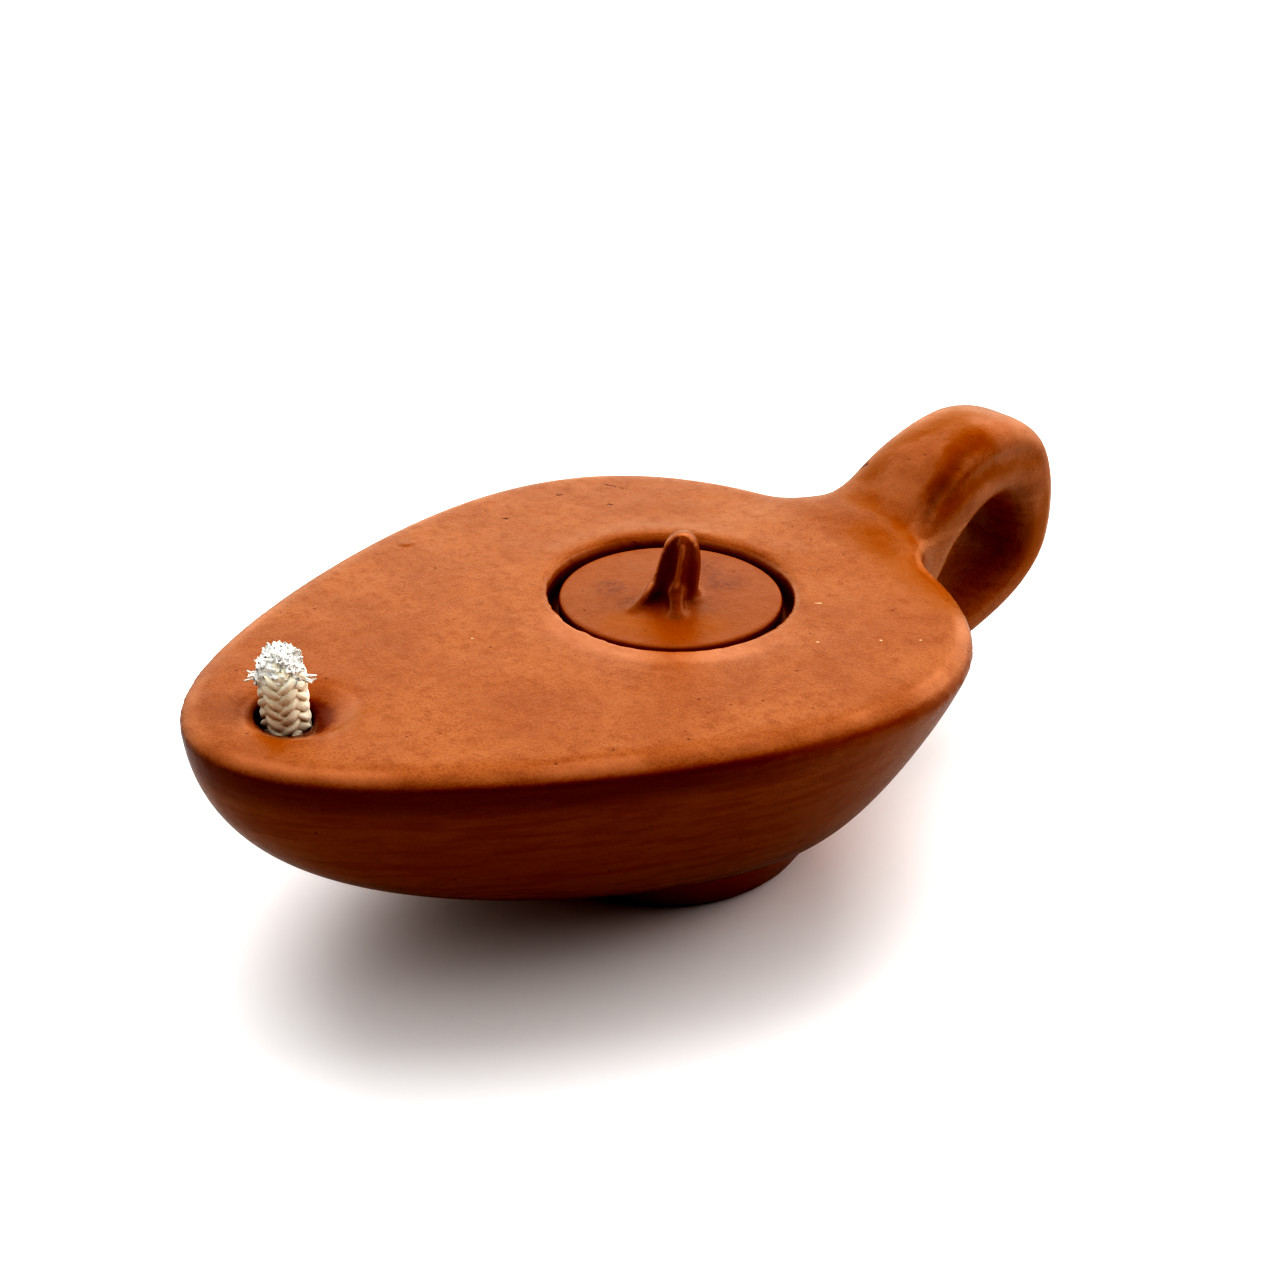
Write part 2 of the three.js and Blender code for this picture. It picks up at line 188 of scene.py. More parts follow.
# Wick, a limp braided cord, and its route from the free top down into the bowl
WICK_ROUTE = (
    (-3.2, -63.3, 52.2), (-3.2, -63.3, 49), (-3.2, -63.3, 45), (-3.2, -63.3, 41), (-3.1, -63.1, 37),
    (-2.8, -61.9, 33.4), (-2.3, -59.3, 30.3), (-1.9, -56.2, 27.8), (-1.4, -52.4, 25.8),
    (-0.7, -48.2, 24.1), (0.2, -43.7, 22.6), (1.2, -39, 21.2), (2.2, -34.4, 19.8), (3, -29.8, 18.2),
    (3.6, -25.2, 16.3), (4, -20.6, 14.3), (4, -16, 12.4), (3.7, -11.3, 10.9), (3.2, -6.5, 10.1),
    (2.6, -1.6, 9.8),
)


# Small helpers

def mix(a, b, share):
    return a + (b - a) * share


def smooth_step(low, high, value):
    share = np.clip((value - low) / (high - low), 0, 1)
    return share * share * (3 - 2 * share)


def unit(vectors):
    return vectors / np.linalg.norm(vectors, axis=-1, keepdims=True)


def turned_from(angles, degrees):
    """How far angles are past a given one, from half a turn back to half a turn on."""
    return (angles - math.radians(degrees) + np.pi) % (2 * np.pi) - np.pi


def quarter_turn(steps):
    """Angles in even steps from nought to a quarter turn."""
    return [math.pi / 2 * i / steps for i in range(steps + 1)]


def catmull_rom(stations, shares):
    """Points on a smooth curve through the stations, at shares from 0 to 1 of its stretches."""
    p = np.asarray(stations, float)
    p = np.vstack([2 * p[0] - p[1], p, 2 * p[-1] - p[-2]])
    last = len(p) - 4
    place = np.asarray(shares) * (last + 1)
    i = np.clip(place.astype(int), 0, last)
    t = (place - i)[:, None]
    a, b, c, d = p[i], p[i + 1], p[i + 2], p[i + 3]
    return 0.5 * (2 * b + (c - a) * t + (2 * a - 5 * b + 4 * c - d) * t**2 + (3 * b - a - 3 * c + d) * t**3)


def loft(rings, first_tip, last_tip):
    """Triangles of a closed solid through rings of points, with a tip at each end."""
    rings = np.asarray(rings, float)
    count, around, _ = rings.shape
    points = np.vstack([rings.reshape(-1, 3), [first_tip, last_tip]])
    first, last = count * around, count * around + 1
    i = np.arange(around)
    j = (i + 1) % around
    low = (np.arange(count - 1) * around)[:, None]
    high = low + around
    top = (count - 1) * around
    sides_a = np.stack([low + i, low + j, high + j], -1).reshape(-1, 3)
    sides_b = np.stack([low + i, high + j, high + i], -1).reshape(-1, 3)
    start = np.stack([np.full(around, first), j, i], -1)
    end = np.stack([top + i, top + j, np.full(around, last)], -1)
    return points, np.vstack([start, sides_a, sides_b, end])


def mesh_object(name, points, faces, smooth=True):
    mesh = bpy.data.meshes.new(name)
    mesh.from_pydata((np.asarray(points) * MM).tolist(), [], np.asarray(faces).tolist())
    mesh.polygons.foreach_set("use_smooth", [smooth] * len(mesh.polygons))
    mesh.update()
    made = bpy.data.objects.new(name, mesh)
    bpy.context.scene.collection.objects.link(made)
    return made


# Clay forms are distance fields, so that joins can be rounded as wet clay is

class Field:
    """A box of evenly spaced points that solids are measured at."""

    def __init__(self, low, high, pitch):
        self.pitch = pitch
        self.start = np.floor(np.asarray(low) / pitch).astype(int)
        self.shape = tuple(np.ceil(np.asarray(high) / pitch).astype(int) - self.start + 1)

    def axes(self):
        grid = np.ogrid[tuple(slice(0, n) for n in self.shape)]
        return [(axis + start) * self.pitch for axis, start in zip(grid, self.start)]

    def distance(self, solid, reach):
        """Signed distance to a closed mesh, true up to reach from its surface."""
        points, triangles = solid
        grid = openvdb.FloatGrid.createLevelSetFromPolygons(
            np.ascontiguousarray(points, np.float32),
            triangles=np.ascontiguousarray(triangles, np.uint32),
            transform=openvdb.createLinearTransform(voxelSize=self.pitch),
            halfWidth=reach / self.pitch,
        )
        values = np.empty(self.shape, np.float32)
        grid.copyToArray(values, ijk=tuple(int(n) for n in self.start))
        return values

    def surface(self, values):
        """Points and quads of the surface where the distance is nought."""
        grid = openvdb.FloatGrid(float(values.max()))
        grid.copyFromArray(np.ascontiguousarray(values, np.float32), ijk=tuple(int(n) for n in self.start))
        grid.transform = openvdb.createLinearTransform(voxelSize=self.pitch)
        points, quads = grid.convertToQuads(0.0)
        return np.asarray(points, float), np.asarray(quads, int)[:, ::-1]


def joined(a, b, rounding):
    """Union of two distance fields, filled in where they meet."""
    near = np.maximum(rounding - np.abs(a - b), 0) / rounding
    return np.minimum(a, b) - near * near * rounding / 4


def cut(a, b, rounding):
    """Field a without field b, with a rounded edge."""
    return -joined(-a, b, rounding)


def relaxed(points, quads, rounds, ease=1.0):
    """Points evened out over their neighbours by an ease from 0 to 1, without shrinking the form."""
    edges = np.vstack([quads[:, [0, 1]], quads[:, [1, 2]], quads[:, [2, 3]], quads[:, [3, 0]]])
    ends = np.hstack([edges[:, 0], edges[:, 1]])
    others = np.hstack([edges[:, 1], edges[:, 0]])
    count = np.bincount(ends, minlength=len(points))
    for _ in range(rounds):
        for share in RELAX_SHARES:
            mean = np.stack(
                [np.bincount(ends, points[others, k], len(points)) / count for k in range(3)], -1
            )
            points = points + share * ease * (mean - points)
    return points


# Body

AROUND = 256
ANGLES = np.linspace(0, 2 * np.pi, AROUND, endpoint=False)
BOWL_STEPS = 48
SHOULDER_STEPS = 9
DECK_STEPS = 48
LIP_STEPS = 8
# The bowl's inside runs between these shares of its fall, and its ceiling stops short of the collar
INSIDE_FALL = (0.14, 0.92)
INSIDE_STEPS = 24
CEILING_END = 0.08
CEILING_STEPS = 14


def circle(x, y, radius, z):
    return np.stack([x + radius * np.sin(ANGLES), y - radius * np.cos(ANGLES), np.full(AROUND, z)], -1)


def rim(a):
    """Outline of the deck, from the nose round through +X."""
    t = (1 - np.cos(a)) / 2
    s = 1 - t
    nose, front, rear, tail = FULLNESS
    fullness = nose * s**3 + 3 * front * s * s * t + 3 * rear * s * t * t + tail * t**3
    half = (TAIL_Y - NOSE_Y) / 2
    return BODY_X + half * np.sin(a) * fullness, mix(NOSE_Y, TAIL_Y, t)


def inset_rim(a, inset):
    step = 0.01
    ahead = np.array(rim(a + step))
    behind = np.array(rim(a - step))
    along = (ahead - behind) / np.linalg.norm(ahead - behind, axis=0)
    x, y = rim(a)
    return x - along[1] * inset, y + along[0] * inset


def front_of(dx, dy):
    return dx * math.sin(HAND_TURN) - dy * math.cos(HAND_TURN)


def dish_depth(x, y):
    """The hollow that slopes from its round lip down to the wick hole."""
    aside, along = WICK_HOLE_X - DISH_X, WICK_HOLE_Y - DISH_Y
    dx, dy = x - WICK_HOLE_X, y - WICK_HOLE_Y
    nearest = 0.01
    far = np.maximum(np.hypot(dx, dy), nearest)
    dot = (aside * dx + along * dy) / far
    to_lip = np.sqrt(dot * dot + DISH_R**2 - aside**2 - along**2) - dot
    share = np.maximum(1 - far / to_lip, 0)
    return DISH_DEPTH * share ** mix(DISH_SOFT, 1, (1 + front_of(dx, dy) / far) / 2)


def deck_level(x, y):
    dx, dy = x - HOLE_X, y - HOLE_Y
    lip = LIP_SLOPE * front_of(dx, dy) * (1 - smooth_step(0, LIP_FADE, np.hypot(dx, dy) - HOLE_R))
    return DECK_Z - DECK_FALL * y - dish_depth(x, y) - lip


def shoulder_drop(a):
    at, drops = zip(*SHOULDER_DROPS)
    turn = np.degrees(a) % 360
    shifted = [np.interp(turn + shift, at, drops, period=360) for shift in SHOULDER_TURNS]
    return sum(shifted) / len(shifted)


def bowl(a, fall):
    """A point on the outside of the bowl: fall is 0 under the shoulder and 1 at the top of the foot."""
    to_nose = np.maximum(np.cos(a), 0) ** 2
    to_tail = np.maximum(-np.cos(a), 0) ** 2
    shares = (to_nose, 1 - to_nose - to_tail, to_tail)
    drop = sum(share * value for share, value in zip(shares, BOWL_DROP))
    belly = sum(share * value for share, value in zip(shares, BOWL_BELLY))
    out = np.maximum(1 - fall**drop, 0) ** (1 / belly)
    x, y = rim(a)
    top = DECK_Z - DECK_FALL * y - shoulder_drop(a)
    px = mix(FOOT_TOP_R * np.sin(a), x, out)
    py = mix(-FOOT_TOP_R * np.cos(a), y, out)
    return np.stack([px, py, mix(top, FOOT_H, fall)], -1)


def bowl_skin(fall, depth):
    """A ring of the bowl moved inwards by a depth, square to its surface."""
    turn, step, clear = 0.01, 0.004, 0.4
    p = bowl(ANGLES, fall)
    around = bowl(ANGLES + turn, fall) - bowl(ANGLES - turn, fall)
    down = bowl(ANGLES, min(fall + step, 1)) - bowl(ANGLES, max(fall - step, 0))
    inwards = np.cross(around, down)
    p = p + depth * unit(inwards)
    p[:, 2] = np.minimum(p[:, 2], deck_level(p[:, 0], p[:, 1]) - depth - clear)
    return p


def under_deck(outer, radius, depth, shares):
    """Rings at a depth under the deck, between an outer ring and a circle round the filling hole."""
    rings = []
    hole = circle(HOLE_X, HOLE_Y, radius, 0)
    for share in shares:
        ring = mix(outer, hole, share)
        ring[:, 2] = deck_level(ring[:, 0], ring[:, 1]) - depth
        rings.append(ring)
    return rings


def bowl_solid():
    """The body without its handle, hollow, with the sunk ledge of the filling hole."""
    rings = [circle(0, 0, FOOT_R - FOOT_EDGE, 0), circle(0, 0, FOOT_R, FOOT_EDGE)]
    for turn in quarter_turn(BOWL_STEPS)[::-1]:
        rings.append(bowl(ANGLES, math.sin(turn)))
    for turn in quarter_turn(SHOULDER_STEPS)[1:]:
        x, y = inset_rim(ANGLES, SHOULDER_IN * (1 - math.cos(turn)))
        z = DECK_Z - DECK_FALL * y - shoulder_drop(ANGLES) * (1 - math.sin(turn))
        rings.append(np.stack([x, y, z], -1))
    worn = np.maximum(-front_of(np.sin(ANGLES), -np.cos(ANGLES)), 0)
    wide, deep = (HOLE_BEVEL + more * worn for more in HOLE_WORN)
    rings += under_deck(rings[-1], HOLE_R + wide, 0, np.arange(1, DECK_STEPS) / DECK_STEPS)
    for turn in quarter_turn(LIP_STEPS):
        ring = circle(HOLE_X, HOLE_Y, HOLE_R + wide * (1 - math.sin(turn)), 0)
        ring[:, 2] = deck_level(ring[:, 0], ring[:, 1]) - deep * (1 - math.cos(turn))
        rings.append(ring)
    under = LEDGE_Z - LEDGE_T
    ledge = ((HOLE_R, LEDGE_Z), (THROAT_R, LEDGE_Z), (THROAT_R, under), (COLLAR_R, under))
    rings += [circle(HOLE_X, HOLE_Y, radius, z) for radius, z in ledge]
    inner = [bowl_skin(fall, WALL) for fall in np.linspace(*INSIDE_FALL, INSIDE_STEPS)]
    rings += under_deck(inner[0], COLLAR_FOOT_R, WALL, np.linspace(1, CEILING_END, CEILING_STEPS))
    rings += inner
    well_r = FOOT_R - WALL
    well = ((FOOT_TOP_R - WALL, FOOT_H + 1), (well_r, FOOT_FLOOR + 1), (well_r - 2, FOOT_FLOOR))
    rings += [circle(0, 0, radius, z) for radius, z in well]
    return loft(rings, (0, 0, 0), (0, 0, FOOT_FLOOR))


def core_solid():
    """The bowl's shape at half its wall, which trims the ends of the handle."""
    depth = WALL / 2
    walls = [bowl_skin(fall, depth) for fall in (0.9, 0.7, 0.5, 0.3, 0.1)]
    top = under_deck(walls[-1], COLLAR_R, depth, (0.3, 0.7, 1))
    return loft(walls + top, (0, 0, FOOT_H), (HOLE_X, HOLE_Y, LEDGE_Z))


def strap_solid():
    """The handle, with a squarish section that its pulling creased."""
    steps, sides = 200, 96
    shares = np.linspace(0, 1, steps)
    stations = catmull_rom(STRAP, shares)
    middle = stations[:, :2]
    along = unit(np.gradient(middle, axis=0))
    a = np.linspace(0, 2 * np.pi, sides, endpoint=False)
    power = 2 / STRAP_SQUARE
    across = np.sign(np.cos(a)) * np.abs(np.cos(a)) ** power
    inward = np.sign(np.sin(a)) * np.abs(np.sin(a)) ** power
    rings = []
    for share, (y, z, width, thick), (ty, tz) in zip(shares, stations, along):
        half = (width + thick) / 4
        keep = np.ones(sides)
        for at, angles, depths, (to_middle, to_edge) in STRAP_CREASES:
            off = turned_from(a, np.interp(share, at, angles))
            spread = np.where(off < 0, to_middle, to_edge)
            keep -= np.interp(share, at, depths) / half * np.exp(-((off * half / spread) ** 2))
        x = STRAP_X + keep * across * width / 2
        inner = keep * inward * thick / 2
        rings.append(np.stack([x, y + inner * tz, z - inner * ty], -1))
    return loft(rings, (STRAP_X, *middle[0]), (STRAP_X, *middle[-1]))


def body_ease(points):
    """1 where the clay is smooth, and less on the handle and at the crisp lips of the holes and the dish."""
    x, y, z = points.T
    hole = np.abs(np.hypot(x - HOLE_X, y - HOLE_Y) - HOLE_R)
    wick_hole = np.abs(np.hypot(x - WICK_HOLE_X, y - WICK_HOLE_Y) - WICK_HOLE_R)
    dish = np.abs(np.hypot(x - DISH_X, y - DISH_Y) - DISH_R) + 2 * (front_of(x - DISH_X, y - DISH_Y) < 0)
    nearest = np.minimum(np.minimum(hole, wick_hole), dish)
    ease = mix(LIP_EASE, 1, smooth_step(*LIP_REACH, nearest))
    outside = smooth_step(TAIL_Y, TAIL_Y + 5, y) * smooth_step(DECK_Z - 3, DECK_Z, z)
    handle = mix(1, HANDLE_EASE, outside)
    return np.where((z > LEDGE_Z - 2) & (y < TAIL_Y), ease, handle)[:, None]


def make_body():
    low, high = (np.array(corner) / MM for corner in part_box("lamp_body"))
    field = Field(low - BODY_ROOM, high + BODY_ROOM, BODY_PITCH)
    reach = STRAP_ROUND
    strap = cut(field.distance(strap_solid(), reach), field.distance(core_solid(), reach), STRAP_TRIM)
    clay = joined(field.distance(bowl_solid(), reach), strap, STRAP_ROUND)
    x, y, z = field.axes()
    narrower = WICK_MOUTH * smooth_step(*WICK_MOUTH_Z, z)
    bore = np.hypot(x - WICK_HOLE_X, y - WICK_HOLE_Y) - WICK_HOLE_R + narrower
    deep = deck_level(WICK_HOLE_X, WICK_HOLE_Y) - 2 * WALL
    clay = cut(clay, np.maximum(bore, deep - z), WICK_HOLE_ROUND)
    points, quads = field.surface(clay)
    points = relaxed(points, quads, BODY_ROUNDS, body_ease(points))
    return mesh_object("clay_body", points, quads)


# Lid

def knob_point(right, front, up):
    """A place on the lid, by how far it is to the right and to the front of the knob and over the lid."""
    x = HOLE_X + right * math.cos(HAND_TURN) + front * math.sin(HAND_TURN)
    y = HOLE_Y + right * math.sin(HAND_TURN) - front * math.cos(HAND_TURN)
    return np.stack(np.broadcast_arrays(x, y, LID_TOP + up), -1)


def knob_solid():
    """The knob, pinched up between finger and thumb, with a ridge in front, a fin and a hollow between."""
    steps, sides = 48, 96
    a = np.linspace(0, 2 * np.pi, sides, endpoint=False)
    shape = np.ones(sides)
    for angle, spread, swell in KNOB_PINCHES:
        shape += swell * np.exp(-((turned_from(a, angle) / math.radians(spread)) ** 2))
    rings = []
    for up, aside, wide, deep in catmull_rom(KNOB, np.linspace(0, 1, steps)):
        front = KNOB_FRONT + shape * deep * np.sin(a)
        rings.append(knob_point(aside + shape * wide * np.cos(a), front, up))
    first = knob_point(KNOB[0][1], KNOB_FRONT, KNOB[0][0])
    return loft(rings[::-1], knob_point(*KNOB_TIP), first)


def taper(axes, start, end, start_r, end_r):
    """Distance to a rounded bar that runs from one point to another and thins on the way."""
    run = end - start
    offset = [axis - value for axis, value in zip(axes, start)]
    share = np.clip(sum(o * r for o, r in zip(offset, run)) / run.dot(run), 0, 1)
    away = np.sqrt(sum((o - share * r) ** 2 for o, r in zip(offset, run)))
    return away - mix(start_r, end_r, share)


def disc_solid():
    """The lid without its knob, with a rounded edge and a slight crown."""
    profile = [(LID_R - LID_EDGE, 0), (LID_R, LID_EDGE)]
    for turn in quarter_turn(LIP_STEPS):
        out = LID_EDGE * (1 - math.cos(turn))
        up = LID_EDGE * (1 - math.sin(turn))
        profile.append((LID_R - out, LID_T - up))
    profile += [(LID_R * 0.75, LID_T + LID_CROWN * 0.4), (LID_R / 2, LID_T + LID_CROWN * 0.75)]
    rings = [circle(HOLE_X, HOLE_Y, r, LID_FOOT + up) for r, up in profile]
    return loft(rings, (HOLE_X, HOLE_Y, LID_FOOT), (HOLE_X, HOLE_Y, LID_FOOT + LID_T + LID_CROWN))


def make_lid():
    low, high = (np.array(corner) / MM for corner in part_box("lid"))
    field = Field(low - LID_ROOM, high + LID_ROOM, LID_PITCH)
    reach = 4
    knob = field.distance(knob_solid(), reach)
    for start, end, start_r, end_r in KNOB_TOES:
        toe = taper(field.axes(), knob_point(*start), knob_point(*end), start_r, end_r)
        knob = joined(knob, toe, TOE_ROUND)
    clay = joined(field.distance(disc_solid(), reach), knob, KNOB_ROUND)
    points, quads = field.surface(clay)
    return mesh_object("lid_and_knob", relaxed(points, quads, LID_ROUNDS), quads)


# Wick

WICK_STEPS = 340
BRAID_STRANDS = 8
BRAID_TURN = 0.49
BRAID_R = 2.6
BRAID_WAVE = 0.34
# The braid opens out into the frayed head this far below the wick's top, and is drawn in to this share there
BRAID_END = 3.2
BRAID_DRAWN_IN = 0.35
STRAND_WIDE = 0.68
STRAND_THICK = 0.52
STRAND_SIDES = 12
# Each strand is spun from plies, which show as lobes that turn along it
PLIES = 3
PLY_DEPTH = 0.13
PLY_TWIST = 55.0
CORE_R = 2.3
CORE_SIDES = 16


def wick_frames():
    """Centre line of the wick with two directions square to it, carried along without twisting."""
    line = catmull_rom(WICK_ROUTE, np.linspace(0, 1, WICK_STEPS))
    along = unit(np.gradient(line, axis=0))
    side = np.array([1.0, 0, 0])
    sides = []
    for direction in along:
        side = unit(side - direction * side.dot(direction))
        sides.append(side)
    sides = np.array(sides)
    return line, sides, np.cross(along, sides)


def tube(centres, across, up, widths, thicks, sides, lobes=0, lobe_depth=0.0, twist=0.0):
    """Points and quads of a closed tube with an oval section that can have twisting lobes."""
    a = np.linspace(0, 2 * np.pi, sides, endpoint=False)
    steps = len(centres)
    turn = twist * np.linspace(0, 1, steps)[:, None]
    swell = 1 + lobe_depth * np.cos(lobes * (a[None, :] + turn))
    c = (np.cos(a) * swell * np.reshape(widths, (-1, 1)))[..., None]
    s = (np.sin(a) * swell * np.reshape(thicks, (-1, 1)))[..., None]
    rings = centres[:, None] + across[:, None] * c + up[:, None] * s
    points = rings.reshape(-1, 3)
    i = np.arange(sides)
    j = (i + 1) % sides
    low = (np.arange(steps - 1) * sides)[:, None]
    quads = np.stack([low + i, low + j, low + sides + j, low + sides + i], -1).reshape(-1, 4)
    return points, quads


def tubes_object(name, tubes):
    """One mesh from the points and quads of many tubes."""
    starts = np.cumsum([0] + [len(points) for points, _ in tubes])
    quads = [own + start for (_, own), start in zip(tubes, starts)]
    return mesh_object(name, np.vstack([points for points, _ in tubes]), np.vstack(quads))


def make_wick():
    """The cord, braided from strands of both hands that each pass over two and under two."""
    line, sides, ups = wick_frames()
    gone = np.concatenate([[0], np.cumsum(np.linalg.norm(np.diff(line, axis=0), axis=1))])
    crossings = BRAID_STRANDS * BRAID_TURN * gone / math.pi
    drawn_in = mix(BRAID_DRAWN_IN, 1, smooth_step(0, BRAID_END, gone))
    tubes = []
    for hand in (1, -1):
        for strand in range(BRAID_STRANDS):
            angle = hand * BRAID_TURN * gone + 2 * math.pi * strand / BRAID_STRANDS
            over = np.cos(math.pi / 2 * (2 * strand + hand * crossings - 1.5 + hand))
            radius = (BRAID_R + BRAID_WAVE * over) * drawn_in
            out = sides * np.cos(angle)[:, None] + ups * np.sin(angle)[:, None]
            centres = line + out * radius[:, None]
            run = unit(np.gradient(centres, axis=0))
            across = unit(np.cross(run, out))
            section = (STRAND_WIDE, STRAND_THICK, STRAND_SIDES, PLIES, PLY_DEPTH, hand * PLY_TWIST)
            tubes.append(tube(centres, across, np.cross(run, across), *section))
    tubes.append(tube(line, sides, ups, CORE_R * drawn_in, CORE_R * drawn_in, CORE_SIDES))
    return tubes_object("wick_braid", tubes), float(gone[-1])


# Frayed head: its lumps' places from the wick's top, to image right, towards the viewer and up, with radii
HEAD_LUMPS = (
    (0.1, 0, -3.3, 2.8), (-0.8, 0.3, -2.0, 2.2), (1.0, 0.2, -1.9, 2.0), (0, -0.6, -1.2, 2.1),
    (-1.7, 0.9, -3.1, 1.5), (1.5, 1.0, -3.3, 1.4), (0, 1.5, -2.9, 1.5), (-1.0, -1.0, -0.9, 1.3),
    (0.4, 0.6, -0.6, 1.2), (1.6, -0.4, -0.8, 1.0),
)
LUMP_RINGS = 12
LUMP_SIDES = 24
# A lump's rings stop this share of the way to its poles, and lie this far inside its fibres
LUMP_POLES = 0.999
LUMP_SKIN = 0.2
# How many fibres a lump has for each millimetre of its radius, how far they are sunk and lifted, their
# lengths and radii, and how much they bend and thin to their tips
LUMP_FIBRES = 60
FIBRE_SUNK = 0.25
FIBRE_LIFT = 0.06
FIBRE_LENGTH = (1.2, 2.2)
FIBRE_R = (0.22, 0.34)
FIBRE_BEND = 0.2
FIBRE_TIP = 0.55
FIBRE_STEPS = 6
FIBRE_SIDES = 5
# Loose ends: which way round they point, how many there are, how low they start, and their length
HEAD_TUFTS = (
    (184, 9, -3.4, 2.4), (-6, 9, -3.6, 2.1), (150, 3, -1.6, 1.3), (98, 3, 0.2, 1.2), (30, 3, -0.2, 1.1),
)
# How they spread: in degrees round, in depth, in height, in rise and in share of their length
TUFT_TURN = 9
TUFT_DEPTH = 0.3
TUFT_LOW = 0.6
TUFT_RISE = 0.15
TUFT_LENGTH = (0.75, 1.1)
TUFT_START_R = 2.3
TUFT_FIBRE_R = 0.22


def fibre(base, away, length, radius, rng):
    """A cotton thread as a curved tube, thinning to its tip."""
    share = np.linspace(0, 1, FIBRE_STEPS)[:, None]
    away = unit(away)
    curl = np.array([rng.uniform(-1, 1) for _ in range(3)]) * FIBRE_BEND * length
    line = base + away * length * share + curl * share**2
    helper = unit(np.cross(away, [0.31, 0.2, 0.93]))
    frames = [np.tile(way, (FIBRE_STEPS, 1)) for way in (helper, np.cross(away, helper))]
    thick = radius * np.linspace(1, FIBRE_TIP, FIBRE_STEPS)
    return tube(line, *frames, thick, thick, FIBRE_SIDES)


def make_frayed_head():
    """The wick's free top, where the braid opens into a dense lump of cotton."""
    rng = random.Random(11)
    top = np.array(WICK_ROUTE[0], float)
    right = np.array([math.cos(HAND_TURN), math.sin(HAND_TURN), 0])
    front = np.array([math.sin(HAND_TURN), -math.cos(HAND_TURN), 0])
    rise = np.array([0, 0, 1.0])

    def scattered():
        return np.array([rng.gauss(0, 1) for _ in range(3)])

    tubes = []
    heights = np.cos(np.linspace(math.pi, 0, LUMP_RINGS)) * LUMP_POLES
    frames = [np.tile(way, (LUMP_RINGS, 1)) for way in (right, front)]
    for aside, forward, up, radius in HEAD_LUMPS:
        middle = top + right * aside + front * forward + rise * up
        inside = radius - LUMP_SKIN
        widths = np.sqrt(1 - heights**2) * inside
        tubes.append(tube(middle + np.outer(heights, rise) * inside, *frames, widths, widths, LUMP_SIDES))
        for _ in range(int(LUMP_FIBRES * radius)):
            away = unit(scattered())
            along = unit(np.cross(away, scattered()))
            length = rng.uniform(*FIBRE_LENGTH)
            base = middle + away * (radius - FIBRE_SUNK) - along * length / 2
            tubes.append(fibre(base, along + away * FIBRE_LIFT, length, rng.uniform(*FIBRE_R), rng))
    for turn, count, low, reach in HEAD_TUFTS:
        for _ in range(count):
            angle = math.radians(turn + rng.gauss(0, TUFT_TURN))
            out = right * math.cos(angle) + front * TUFT_DEPTH * rng.gauss(0, 1)
            start = low + rng.uniform(-TUFT_LOW, TUFT_LOW)
            base = top + right * TUFT_START_R * math.cos(angle) + rise * start
            away = out + rise * (math.sin(angle) + rng.uniform(-TUFT_RISE, TUFT_RISE))
            tubes.append(fibre(base, away, reach * rng.uniform(*TUFT_LENGTH), TUFT_FIBRE_R, rng))
    return tubes_object("wick_frayed_head", tubes)


# Materials

# The Mix node's sockets for two colours and for its result
MIX_COLOURS = (6, 7)
MIX_RESULT = 2


class Nodes:
    """Short names for the shader nodes of one material or world."""

    def __init__(self, owner):
        owner.use_nodes = True
        self.owner = owner
        self.tree = owner.node_tree

    def new(self, kind):
        return self.tree.nodes.new(kind)

    def link(self, value, socket):
        if isinstance(value, bpy.types.NodeSocket):
            self.tree.links.new(value, socket)
        elif value is not None:
            socket.default_value = value

    def vector(self, operation, a, b=None, scale=None):
        node = self.new("ShaderNodeVectorMath")
        node.operation = operation
        self.link(a, node.inputs[0])
        self.link(b, node.inputs[1])
        # The node has this socket only when it scales
        if scale is not None:
            self.link(scale, node.inputs["Scale"])
        wanted = "Value" if operation in ("DOT_PRODUCT", "DISTANCE") else "Vector"
        return node.outputs[wanted]

    def math(self, operation, a, b, c=None):
        node = self.new("ShaderNodeMath")
        node.operation = operation
        for value, socket in zip((a, b, c), node.inputs):
            self.link(value, socket)
        return node.outputs["Value"]

    def times(self, a, b):
        return self.math("MULTIPLY", a, b)

    def between(self, value, low, high, to_low=0.0, to_high=1.0):
        """A value's way from low to high, eased, and spread from to_low to to_high."""
        node = self.new("ShaderNodeMapRange")
        node.interpolation_type = "SMOOTHSTEP"
        self.link(value, node.inputs["Value"])
        node.inputs["From Min"].default_value = low
        node.inputs["From Max"].default_value = high
        self.link(to_low, node.inputs["To Min"])
        self.link(to_high, node.inputs["To Max"])
        return node.outputs["Result"]


